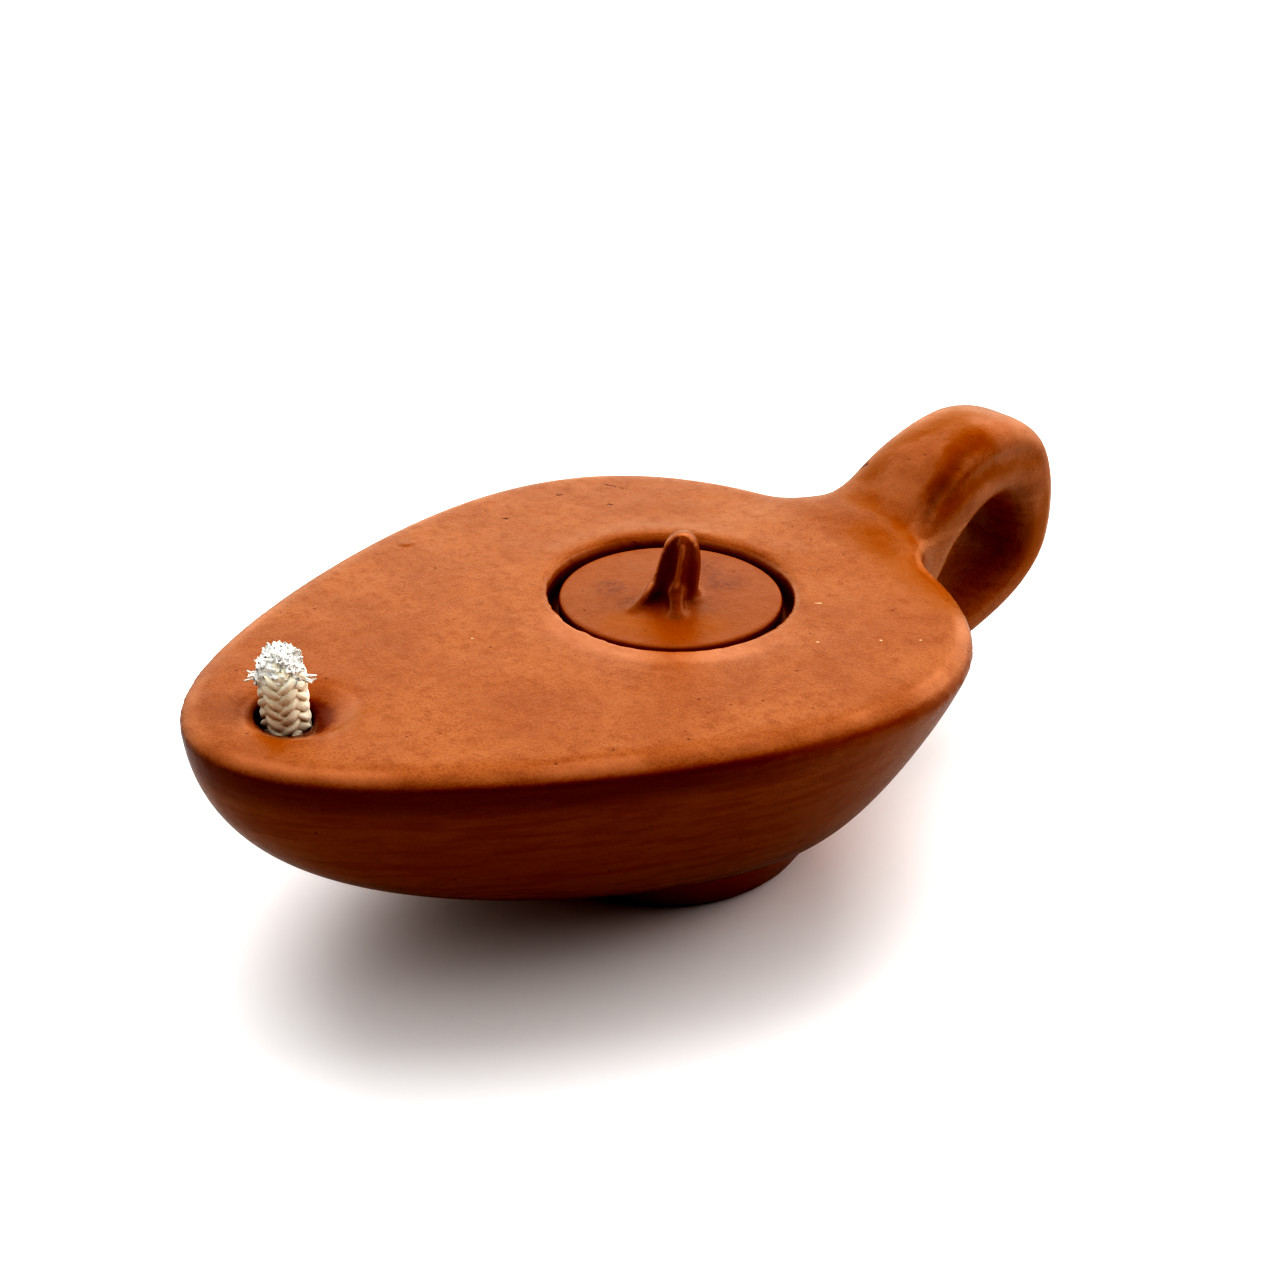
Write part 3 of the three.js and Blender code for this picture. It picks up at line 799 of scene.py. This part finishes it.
class Surface(Nodes):
    """The nodes of a surface whose patterns are placed in millimetres."""

    def __init__(self, name):
        super().__init__(bpy.data.materials.new(name))
        self.shader = self.tree.nodes["Principled BSDF"]
        coordinates = self.new("ShaderNodeTexCoord")
        self.place = self.vector("SCALE", coordinates.outputs["Object"], scale=1 / MM)

    def texture(self, kind, per_mm, place=None):
        node = self.new(kind)
        self.link(place or self.place, node.inputs["Vector"])
        node.inputs["Scale"].default_value = per_mm
        return node

    def noise(self, per_mm, detail, roughness, place=None):
        node = self.texture("ShaderNodeTexNoise", per_mm, place)
        node.inputs["Detail"].default_value = detail
        node.inputs["Roughness"].default_value = roughness
        return node.outputs["Fac"]

    def cells(self, per_mm):
        node = self.texture("ShaderNodeTexVoronoi", per_mm)
        return node.outputs["Distance"], node.outputs["Color"]

    def blend(self, share, a, b):
        node = self.new("ShaderNodeMix")
        node.data_type = "RGBA"
        self.link(share, node.inputs[0])
        for colour, socket in zip((a, b), MIX_COLOURS):
            ready = colour if isinstance(colour, bpy.types.NodeSocket) else (*colour, 1)
            self.link(ready, node.inputs[socket])
        return node.outputs[MIX_RESULT]

    def bump(self, height, depth, normal=None):
        """Relief whose height of 1 stands for a depth in millimetres."""
        node = self.new("ShaderNodeBump")
        node.inputs["Distance"].default_value = depth * MM
        self.link(height, node.inputs["Height"])
        self.link(normal, node.inputs["Normal"])
        return node.outputs["Normal"]

    def stretched(self, by):
        """The place with each direction scaled, so that patterns become streaks."""
        return self.vector("MULTIPLY", self.place, by)

    def near(self, middle, radius, soft, most=1):
        """A share near a point that falls to nought further off than radius, with a soft edge."""
        far = self.vector("DISTANCE", self.place, tuple(middle))
        return self.between(far, radius - soft, radius + soft, most, 0)

    def wavy(self, per_mm, amount):
        """The place, pushed about by a noise, up to about an amount in millimetres."""
        colour = self.texture("ShaderNodeTexNoise", per_mm).outputs["Color"]
        push = self.vector("SUBTRACT", colour, (0.5, 0.5, 0.5))
        return self.vector("ADD", self.place, self.vector("SCALE", push, scale=2 * amount))

    def bar_distance(self, start, end, place):
        """How far a place is from the line between two points."""
        run = Vector(end) - Vector(start)
        offset = self.vector("SUBTRACT", place, start)
        along = self.vector("DOT_PRODUCT", offset, tuple(run / run.length_squared))
        share = self.math("MINIMUM", self.math("MAXIMUM", along, 0), 1)
        nearest = self.vector("SCALE", tuple(run), scale=share)
        return self.vector("DISTANCE", offset, nearest)

    def strokes(self, places, place, ragged=None, soft=0.5):
        """1 on the strokes and 0 off them, with soft edges, and ragged ones where a noise is given."""
        total = None
        for start, end, radius in places:
            reach = radius
            if ragged is not None:
                reach = self.math("MULTIPLY_ADD", ragged, radius * RAGGED_WIDE, radius * RAGGED_LEAST)
            off = self.math("SUBTRACT", self.bar_distance(start, end, place), reach)
            share = self.between(off, -soft * radius, soft * radius, 1, 0)
            total = share if total is None else self.math("MAXIMUM", total, share)
        return total


CLAY = (0.32, 0.122, 0.040)
CLAY_DEEP = (0.26, 0.088, 0.026)
CLAY_PALE = (0.37, 0.155, 0.056)
# Painted shade on the sides under the deck
CLAY_SIDE_SHADE = (0.25, 0.070, 0.010)
# Slip, its amber partly a painted dark reflection
CLAY_AMBER_AND_DARK_REFLECTION = (0.31, 0.105, 0.008)
# Smudges on the lid, and painted shade in the dish
CLAY_SMUDGE_AND_SHADE = (0.17, 0.055, 0.025)
CLAY_PIT = (0.08, 0.016, 0.006)
LIME = (0.85, 0.62, 0.42)
# Wear and painted highlight, on the lips, the handle and the knob's edges
CLAY_WEAR_AND_HIGHLIGHT = (0.56, 0.27, 0.15)
# Painted shade and dark reflection, for a band under the deck's edge
CLAY_PAINTED_SHADE_BAND = (0.13, 0.016, 0.004)
# Painted light on the foot
CLAY_FOOT_PAINTED_LIGHT = (0.36, 0.085, 0.026)
COTTON = (0.99, 0.97, 0.86)
COTTON_SHADE = (0.94, 0.88, 0.7)
COTTON_FRAYED = (1, 1, 0.97)
COTTON_FRAYED_SHADE = (0.98, 0.97, 0.92)

# Noises: how fine they are for each millimetre, their detail and their roughness
CLOUD = (0.045, 3, 0.55)
MOTTLE = (0.5, 7, 0.62)
GRAIN = (2.6, 4, 0.65)
FLOW = (1.0, 5, 0.6)
SAND = (3.2, 2, 0.5)
BRUSHING = (1.3, 4, 0.7)
SWELL = (0.11, 2, 0.4)
PATCHES = (0.1, 2, 0.4)
BODY_RAGGED = (0.3, 3, 0.55)
LID_RAGGED = (0.4, 4, 0.6)
BLOTCHES = (0.9, 5, 0.7)
FUZZ = (3.0, 3, 0.7)
# How the streaked ones are stretched
FLOW_STRETCH = (0.09, 0.09, 0.75)
BRUSHING_STRETCH = (1.0, 0.25, 1.0)

# Depths of the relief
SWELL_DEPTH = 0.3
MOTTLE_DEPTH = 0.08
GRAIN_DEPTH = 0.05
PIT_DEPTH = 0.1
DENT_DEPTH = 0.3
FUZZ_DEPTH = 0.08
# Pits: how many cells there are for each millimetre, and a pit's edge
PIT_CELLS = 0.55
PIT_EDGE = (0.05, 0.13)

# Heights between which the faces are sanded. The lower one has the deck's fall taken out, and brushing
# makes it ragged. The sides under it are burnished, with painted shade darkening them as far back as the
# handle.
BODY_SANDED = (41.6, 60)
LID_SANDED = (40.6, 43)
BRUSHED_BY = 1.6
SIDE_SHADE_END_Y = (44, 50)
SANDED_ROUGH = 0.2

# Where each change of colour starts and ends, in height or towards the handle
LIP_FROM = (41.6, 42.6)
LIP_TO = (43.15, 43.45)
# The handle's paler outside, partly wear and partly painted highlight
HANDLE_PALE_Y = (45, 51)
HANDLE_PALE_Z = (43, 47)
HANDLE_PALE_END_Y = (77, 80)
# The band of painted shade under the deck's edge
SHADE_BAND_FROM = (35.5, 40)
SHADE_BAND_TO = (41.4, 42.2)
SHADE_BAND_Y = (-30, 0)

# What the body's slip and the filling hole's wall add to the clay's roughness
GLOSS = -0.17
# Strokes waver: how finely, for each millimetre, and by how much
BODY_WAVER = (0.14, 2.4)
LID_WAVER = (0.15, 3.0)
SCRATCH_WAVER = (1.6, 0.7)
KNOB_WAVER = (0.8, 0.25)
SLIP_AND_REFLECTION_SOFT = 0.8
# A ragged stroke reaches this share of its radius at the least, and this much more where its noise is 1
RAGGED_LEAST = 0.15
RAGGED_WIDE = 1.7

# Brushed amber slip, glossy, its amber partly a painted dark reflection, as strokes from a point to a point
# with a radius
BODY_SLIP_AND_REFLECTION = (
    ((4, 38.5, 42.7), (31, 33, 42.6), 3.2), ((-12, 43.5, 43), (0, 45.3, 44.6), 1.8),
    ((0, 45.3, 44.6), (9, 43.5, 42.6), 1.8), ((-8, 50, 46.6), (-5.5, 60, 53.2), 2.2),
    ((-5.5, 60, 53.2), (-1.5, 70, 56.2), 2.8), ((-4, 66.5, 55.8), (4.5, 63.5, 54.4), 3.0),
    ((-6.5, 70, 55.4), (-1, 76, 53.8), 2.6), ((4, 60, 53.6), (6.5, 52, 48), 1.8),
    ((8, 77.5, 48.8), (8.4, 63, 49.8), 1.3), ((8.4, 63, 49.8), (8.6, 53, 46), 1.6),
    ((7.5, 82, 41), (7.5, 79, 28), 2.6),
    ((3.5, -68.6, 44.6), (6.5, -69.2, 44.8), 1.8), ((5.5, -56.0, 44.5), (6.8, -58.5, 44.6), 1.6),
)
LID_SLIP_AND_REFLECTION = (((3, -10.5, 42), (10.5, -7.5, 42), 3.2), ((10.5, -7.5, 42), (11.5, -1, 42), 2.8))
# Painted highlights on the knob's edges, as bent lines of places to the right and front of it and over the
# lid
KNOB_HIGHLIGHTS = (
    ((-0.5, 2.2, 10.2), (-1.7, 2.4, 8), (-2.5, 2.7, 5), (-3.3, 3.5, 2.4), (-4.6, 4.8, 0.7), (-5.8, 6.0, 0)),
    ((1.7, 3.4, 9.6), (1.2, 4.1, 7), (0.8, 4.5, 4), (0.6, 5.0, 2.2), (0.7, 6.4, 1.0), (0.8, 7.6, 0.3)),
    ((-0.5, 2.2, 10.2), (0.4, 2.0, 11.0), (1.7, 1.8, 11.3), (2.7, 1.9, 10.6), (3.4, 2.0, 9.4)),
)
KNOB_HIGHLIGHT_R = 0.42
# Smudges on the lid, painted shade in the dish by the wick, and a small bump on the deck, as places with a
# radius
LID_SMUDGES = ((-7.5, -5.2, 42, 2.4), (-1.5, -6.2, 42, 1.8), (-4.6, 10.8, 42, 2.4), (1.5, 9.8, 42, 3.0))
DISH_PAINTED_SHADE = ((1.5, -60.5, 41, 5.0), (-4.5, -68.5, 43, 3.5))
DECK_BUMP = (-38.3, -23.7, 43.9, 1.0)
# Dark scratches and pits, and white grains of lime, as short strokes
SCRATCHES = (
    ((-41, 17.3, 43.1), (-36, 19.8, 43.1), 0.1), ((-37.6, -5.3, 43.6), (-37.2, -4.9, 43.6), 0.22),
    ((-40.8, 8.2, 43.3), (-40.5, 8.5, 43.3), 0.22), ((-32.2, 13.1, 43.2), (-31.8, 13.3, 43.2), 0.22),
    ((-10, 51.4, 48.0), (-9.6, 52.0, 48.3), 0.3),
)
GRAINS = (
    ((16.4, 15.8, 43.2), (17.0, 16.6, 43.1), 0.09), ((26, 7.2, 43.3), (26.2, 7.4, 43.3), 0.11),
    ((31, 15.2, 43.2), (31.2, 15.3, 43.2), 0.11), ((34.4, 20, 43.1), (34.5, 20.1, 43.1), 0.11),
    ((-4, -33, 44.2), (-3.9, -32.9, 44.2), 0.1),
)


class Clay(Surface):
    """Fired clay with its clouds, mottling, grain and pits, burnished on its sides and sanded above, with
    painted shade darkening the sides.
    """

    def __init__(self, name, sanded):
        super().__init__(name)
        cloud = self.noise(*CLOUD)
        self.mottle = self.noise(*MOTTLE)
        self.grain = self.noise(*GRAIN)
        flow = self.noise(*FLOW, self.stretched(FLOW_STRETCH))
        sand = self.noise(*SAND)
        self.colour = self.blend(self.between(cloud, 0.35, 0.65), CLAY, CLAY_PALE)
        self.tint(self.between(self.mottle, 0.46, 0.7, 0, 0.55), CLAY_DEEP)
        self.tint(self.between(flow, 0.48, 0.7, 0, 0.5), CLAY_DEEP)
        self.tint(self.between(sand, 0.5, 0.68, 0, 0.5), CLAY_PALE)
        self.tint(self.between(sand, 0.5, 0.34, 0, 0.55), CLAY_DEEP)
        distance, cell = self.cells(PIT_CELLS)
        chosen = self.between(self.vector("DOT_PRODUCT", cell, (1, 0, 0)), 0.86, 0.9)
        self.pits = self.times(self.between(distance, *PIT_EDGE, 1, 0), chosen)
        self.tint(self.times(self.pits, 0.5), CLAY_PIT)
        mottled = self.between(self.mottle, 0.3, 0.7, 0.09, 0.16)
        self.rough = self.math("ADD", mottled, self.between(cloud, 0.3, 0.7, -0.02, 0.03))
        self.split_place()
        self.sand_and_shade_sides(flow, *sanded)

    def split_place(self):
        """Keeps how far back and how high places are, and their height with the deck's fall taken out."""
        node = self.new("ShaderNodeSeparateXYZ")
        self.link(self.place, node.inputs["Vector"])
        self.y, self.z = node.outputs["Y"], node.outputs["Z"]
        self.level = self.math("MULTIPLY_ADD", self.y, DECK_FALL, self.z)

    def sand_and_shade_sides(self, flow, low, high):
        brushed = self.noise(*BRUSHING, self.stretched(BRUSHING_STRETCH))
        centred = self.math("SUBTRACT", self.level, BRUSHED_BY / 2)
        edge = self.math("MULTIPLY_ADD", brushed, BRUSHED_BY, centred)
        sanded = self.times(self.between(edge, low, low + 1), self.between(self.z, high, high + 1, 1, 0))
        self.roughen(sanded, SANDED_ROUGH)
        # Painted shade: the sides under the sanded faces are tinted darker and deeper, as far back as the
        # handle
        under = self.between(edge, low, low + 1, 1, 0)
        side = self.times(under, self.between(self.y, *SIDE_SHADE_END_Y, 1, 0))
        self.tint(self.times(side, self.between(flow, 0.35, 0.65, 0.95, 0.45)), CLAY_SIDE_SHADE)

    def tint(self, share, colour):
        self.colour = self.blend(share, self.colour, colour)

    def roughen(self, share, amount):
        self.rough = self.math("MULTIPLY_ADD", share, amount, self.rough)

    def finished(self, dents=None):
        self.link(self.colour, self.shader.inputs["Base Color"])
        self.link(self.rough, self.shader.inputs["Roughness"])
        relief = self.bump(self.noise(*SWELL), SWELL_DEPTH)
        relief = self.bump(self.mottle, MOTTLE_DEPTH, relief)
        relief = self.bump(self.grain, GRAIN_DEPTH, relief)
        relief = self.bump(self.times(self.pits, -1), PIT_DEPTH, relief)
        if dents is not None:
            relief = self.bump(dents, DENT_DEPTH, relief)
        self.link(relief, self.shader.inputs["Normal"])
        return self.owner


def body_material():
    n = Clay("burnished_clay", BODY_SANDED)
    # Paler on the lips and the handle's outside: partly wear from handling, partly painted highlight and
    # sheen
    lips_wear_and_highlight = n.times(n.between(n.level, *LIP_FROM), n.between(n.level, *LIP_TO, 1, 0))
    outside = n.math("MAXIMUM", n.between(n.z, *HANDLE_PALE_Z), n.between(n.y, *HANDLE_PALE_END_Y))
    handle_wear_and_sheen = n.times(n.between(n.y, *HANDLE_PALE_Y), outside)
    patches = n.between(n.noise(*PATCHES), 0.36, 0.62, 0.12, 0.42)
    n.tint(n.times(n.math("MAXIMUM", lips_wear_and_highlight, handle_wear_and_sheen), patches), CLAY_WEAR_AND_HIGHLIGHT)
    # Painted shade and dark reflection: darkest in a band under the deck's edge, towards the nose
    shade_band = n.times(n.between(n.level, *SHADE_BAND_FROM), n.between(n.level, *SHADE_BAND_TO, 1, 0))
    n.tint(n.times(shade_band, n.between(n.y, *SHADE_BAND_Y, 0.6, 0)), CLAY_PAINTED_SHADE_BAND)
    # Painted light: the foot is tinted redder and brighter, standing in for light thrown up on it from the
    # floor
    n.tint(n.between(n.z, FOOT_H - 3, FOOT_H, 0.65, 0), CLAY_FOOT_PAINTED_LIGHT)
    slip_and_reflection = n.strokes(BODY_SLIP_AND_REFLECTION, n.wavy(*BODY_WAVER), n.noise(*BODY_RAGGED), SLIP_AND_REFLECTION_SOFT)
    # Glossy slip, whose amber colour is partly a painted reflection of dark surroundings
    n.tint(n.times(slip_and_reflection, 0.92), CLAY_AMBER_AND_DARK_REFLECTION)
    n.roughen(slip_and_reflection, GLOSS)
    # The wall of the filling hole is as glossy as the slip
    n.roughen(n.near((HOLE_X, HOLE_Y, LEDGE_Z), HOLE_R + 1.5, 0.3), GLOSS)
    # Painted shade in the dish, round the foot of the wick
    for *middle, radius in DISH_PAINTED_SHADE:
        n.tint(n.near(middle, radius, radius * 0.6, 0.22), CLAY_SMUDGE_AND_SHADE)
    scratched = n.strokes(SCRATCHES, n.wavy(*SCRATCH_WAVER))
    n.tint(n.times(scratched, 0.6), CLAY_PIT)
    n.tint(n.strokes(GRAINS, n.place), LIME)
    *middle, radius = DECK_BUMP
    return n.finished(n.math("SUBTRACT", n.near(middle, radius, 0.8), scratched))


def lid_material():
    n = Clay("lid_clay", LID_SANDED)
    n.tint(0.6, CLAY_DEEP)
    slip_and_reflection = n.strokes(LID_SLIP_AND_REFLECTION, n.wavy(*LID_WAVER), n.noise(*LID_RAGGED), SLIP_AND_REFLECTION_SOFT)
    # Glossy slip, whose amber colour is partly a painted reflection of dark surroundings
    n.tint(n.times(slip_and_reflection, 0.8), CLAY_AMBER_AND_DARK_REFLECTION)
    # Painted highlights along the knob's edges and over its top
    worn = []
    for line in KNOB_HIGHLIGHTS:
        bends = [tuple(knob_point(*place)) for place in line]
        worn += [(start, end, KNOB_HIGHLIGHT_R) for start, end in zip(bends, bends[1:])]
    n.tint(n.times(n.strokes(worn, n.wavy(*KNOB_WAVER)), 0.9), CLAY_WEAR_AND_HIGHLIGHT)
    blotches = n.between(n.noise(*BLOTCHES), 0.35, 0.65)
    for *middle, radius in LID_SMUDGES:
        n.tint(n.times(n.near(middle, radius, radius * 0.8, 0.9), blotches), CLAY_SMUDGE_AND_SHADE)
    return n.finished()


def cotton_material(name, base, shade, sheen):
    n = Surface(name)
    fuzz = n.noise(*FUZZ)
    n.link(n.blend(n.between(fuzz, 0.4, 0.65), shade, base), n.shader.inputs["Base Color"])
    n.shader.inputs["Roughness"].default_value = 0.9
    n.shader.inputs["Sheen Weight"].default_value = sheen
    n.link(n.bump(fuzz, FUZZ_DEPTH), n.shader.inputs["Normal"])
    return n.owner


# Camera, lights and floor

def make_camera():
    azimuth, elevation = math.radians(CAMERA_AZIMUTH), math.radians(CAMERA_ELEVATION)
    across = Vector((math.cos(azimuth), math.sin(azimuth), 0))
    back = Vector((
        math.sin(azimuth) * math.cos(elevation),
        -math.cos(azimuth) * math.cos(elevation),
        math.sin(elevation),
    ))
    up = back.cross(across)
    aim = across * AIM_ASIDE + Vector((0, 0, AIM_Z))
    place = (aim + back * CAMERA_DISTANCE) * MM
    turn = Matrix.Rotation(math.radians(CAMERA_ROLL), 3, back)
    across, up = turn @ across, turn @ up
    data = bpy.data.cameras.new("camera")
    data.sensor_width = SENSOR_MM
    data.lens = FOCAL_PX / PHOTO_SIDE_PX * data.sensor_width
    data.clip_start = NEAREST_SEEN * MM
    camera = bpy.data.objects.new("camera", data)
    bpy.context.scene.collection.objects.link(camera)
    camera.matrix_world = Matrix((
        (across.x, up.x, back.x, place.x),
        (across.y, up.y, back.y, place.y),
        (across.z, up.z, back.z, place.z),
        (0, 0, 0, 1),
    ))
    bpy.context.scene.camera = camera


SKY = 0.72
SKY_DARK = 0.1
SKY_SEEN = 0.9
# How far the brightest sky lies behind the lamp, from straight up, in degrees
SKY_LEAN = 10
WALL_SHINE = 0.85
ROOM_SHINE = 0.05
# Where these fade, as cosines from the brightest sky, from the backdrop's middle and from straight up
SKY_FADE = (0.1, 0.85)
WALL_FADE = (-0.3, 0.3)
WALL_TOP = (0.67, 0.74)


def make_world():
    """A soft sky, dim low down. In glossy clay it is a dim room with a pale backdrop behind the lamp."""
    n = Nodes(bpy.data.worlds.new("studio"))
    direction = n.new("ShaderNodeTexCoord").outputs["Generated"]

    def towards(way):
        return n.vector("DOT_PRODUCT", direction, way)

    facing = math.radians(CAMERA_AZIMUTH)
    lean = math.radians(SKY_LEAN)
    brightest = (-math.sin(facing) * math.sin(lean), math.cos(facing) * math.sin(lean), math.cos(lean))
    sky = n.between(towards(brightest), *SKY_FADE, SKY_DARK, SKY)
    behind = towards((-math.sin(facing), math.cos(facing), 0))
    backdrop = n.between(behind, *WALL_FADE, ROOM_SHINE, WALL_SHINE)
    shine = n.between(towards((0, 0, 1)), *WALL_TOP, backdrop, ROOM_SHINE)
    rays = n.new("ShaderNodeLightPath").outputs
    cast = n.between(rays["Is Glossy Ray"], 0, 1, sky, shine)
    background = n.tree.nodes["Background"]
    background.inputs["Color"].default_value = (1, 1, 1, 1)
    n.link(n.between(rays["Is Camera Ray"], 0, 1, cast, SKY_SEEN), background.inputs["Strength"])
    bpy.context.scene.world = n.owner


# Lights: places, sizes and powers in watts
LIGHTS = (("key", (-300, 200, 780), 1000, 5.2), ("side", (330, 750, 300), 600, 2.8))
LIGHTS_AIM = (0, 0, 30)


def make_light(name, place, size, power):
    """A soft light that shows in no reflection."""
    data = bpy.data.lights.new(name, "AREA")
    data.size = size * MM
    data.energy = power
    light = bpy.data.objects.new(name, data)
    bpy.context.scene.collection.objects.link(light)
    light.location = Vector(place) * MM
    light.rotation_euler = (Vector(LIGHTS_AIM) - Vector(place)).to_track_quat("-Z", "Y").to_euler()
    light.visible_glossy = False


FLOOR_HALF = 6000.0
FLOOR_ROUGH = 0.8
# The surface seen is pale, and what it throws back up at the lamp is dimmer
FLOOR_SEEN = 0.95
FLOOR_BOUNCE = 0.7
FLOOR_GLOSS = 0.46


def make_floor():
    corners = [(x * FLOOR_HALF, y * FLOOR_HALF, 0) for x, y in ((-1, -1), (1, -1), (1, 1), (-1, 1))]
    floor = mesh_object("floor", corners, [(0, 1, 2, 3)], smooth=False)
    n = Nodes(bpy.data.materials.new("pale_floor"))
    shader = n.tree.nodes["Principled BSDF"]
    shader.inputs["Roughness"].default_value = FLOOR_ROUGH
    rays = n.new("ShaderNodeLightPath").outputs
    bounced = n.between(rays["Is Glossy Ray"], 0, 1, FLOOR_BOUNCE, FLOOR_GLOSS)
    n.link(n.between(rays["Is Camera Ray"], 0, 1, bounced, FLOOR_SEEN), shader.inputs["Base Color"])
    floor.data.materials.append(n.owner)


VIEW_GAMMA = 0.88
VIEW_EXPOSURE = 0.15
# The photograph's deep shadows are crushed
BLACK_LEVEL = 0.034


def set_view():
    view = bpy.context.scene.view_settings
    view.view_transform = "Standard"
    view.look = "Very High Contrast"
    view.gamma = VIEW_GAMMA
    view.exposure = VIEW_EXPOSURE
    view.use_curve_mapping = True
    view.curve_mapping.black_level = (BLACK_LEVEL, BLACK_LEVEL, BLACK_LEVEL)
    view.curve_mapping.update()


make_camera()
make_world()
make_floor()
for light in LIGHTS:
    make_light(*light)
set_view()

wick, wick_length = make_wick()
head = make_frayed_head()
body = make_body()
lid = make_lid()

body.data.materials.append(body_material())
lid.data.materials.append(lid_material())
wick.data.materials.append(cotton_material("braided_cotton", COTTON, COTTON_SHADE, 0.5))
head.data.materials.append(cotton_material("frayed_cotton", COTTON_FRAYED, COTTON_FRAYED_SHADE, 1.0))

for piece, node, finish in (
    (body, "lamp_body", "burnished_terracotta"),
    (lid, "lid", "lid_terracotta"),
    (wick, "wick", "cotton_wick"),
):
    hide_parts(node)
    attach(piece, "root")
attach(head, "root")
